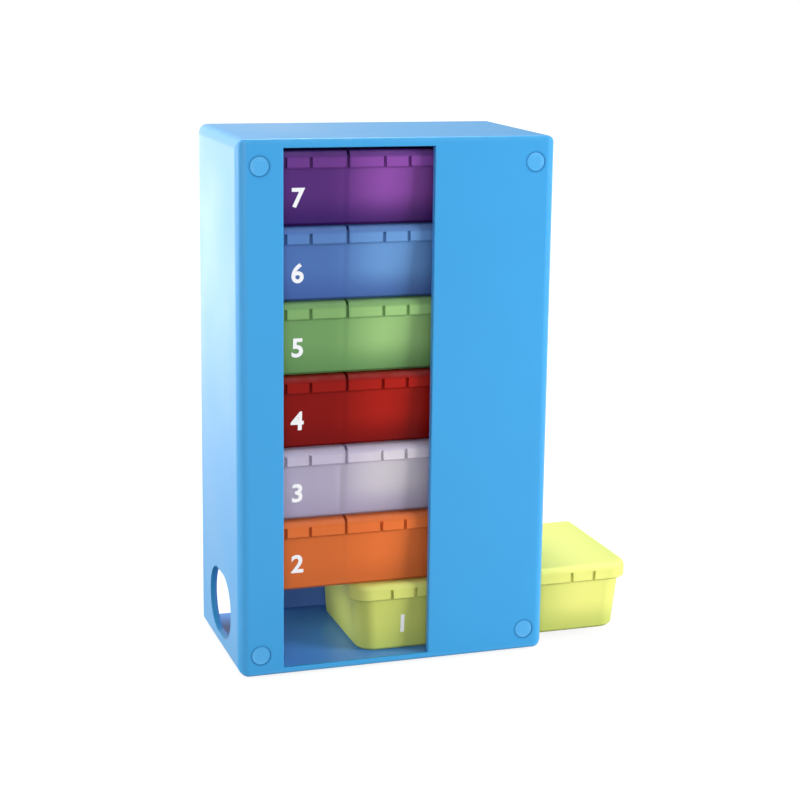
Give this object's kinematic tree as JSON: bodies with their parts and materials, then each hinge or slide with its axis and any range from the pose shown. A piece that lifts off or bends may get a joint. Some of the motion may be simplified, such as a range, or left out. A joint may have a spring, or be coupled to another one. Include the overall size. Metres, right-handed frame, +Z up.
{
  "type": "weekly pill organizer",
  "caption": "Upright pill organizer: a case with a window holds stacked translucent day boxes with hinged lids, the lowest drawn out through the side.",
  "frame": {"origin": "centre of the overall box's base, on the surface that the feet stand on", "axes": "+X along the boxes, toward the side where the lowest one comes out; +Y from the window side to the rear cover; +Z up"},
  "size_m": [0.1358, 0.0574, 0.1711],
  "materials": {
    "case_blue": "light blue, smooth moulded, semi-gloss",
    "plug_blue": "light blue, smooth",
    "yellow_plastic": "yellow, translucent, slightly frosted",
    "orange_plastic": "orange, translucent, slightly frosted",
    "frosted_plastic": "nearly colourless, translucent, frosted",
    "red_plastic": "red, translucent, slightly frosted",
    "green_plastic": "green, translucent, slightly frosted",
    "blue_plastic": "blue, translucent, slightly frosted",
    "purple_plastic": "purple, translucent, slightly frosted"
  },
  "bodies": {
    "case": {"case_shell": "case_blue", "rear_cover": "case_blue", "corner_plugs": "plug_blue", "feet": "case_blue", "day_2_tray": "orange_plastic", "day_2_lid_left": "orange_plastic", "day_2_lid_middle": "orange_plastic", "day_2_lid_right": "orange_plastic", "day_3_tray": "frosted_plastic", "day_3_lid_left": "frosted_plastic", "day_3_lid_middle": "frosted_plastic", "day_3_lid_right": "frosted_plastic", "day_4_tray": "red_plastic", "day_4_lid_left": "red_plastic", "day_4_lid_middle": "red_plastic", "day_4_lid_right": "red_plastic", "day_5_tray": "green_plastic", "day_5_lid_left": "green_plastic", "day_5_lid_middle": "green_plastic", "day_5_lid_right": "green_plastic", "day_6_tray": "blue_plastic", "day_6_lid_left": "blue_plastic", "day_6_lid_middle": "blue_plastic", "day_6_lid_right": "blue_plastic", "day_7_tray": "purple_plastic", "day_7_lid_left": "purple_plastic", "day_7_lid_middle": "purple_plastic", "day_7_lid_right": "purple_plastic"},
    "day_1_box": {"day_1_tray": "yellow_plastic", "day_1_lid_left": "yellow_plastic", "day_1_lid_middle": "yellow_plastic"},
    "day_1_lid_right": {"day_1_lid_right": "yellow_plastic"}
  },
  "joints": [
    {"name": "day_1_slide", "type": "slide", "parent": "case", "child": "day_1_box", "axis": [1, 0, 0], "range_m": [0, 0.0699]},
    {"name": "day_1_lid_right_hinge", "type": "hinge", "parent": "day_1_box", "child": "day_1_lid_right", "pos_m": [0.05063, 0.0246, 0.02535], "axis": [-1, 0, 0], "range_deg": [0, 110]}
  ]
}
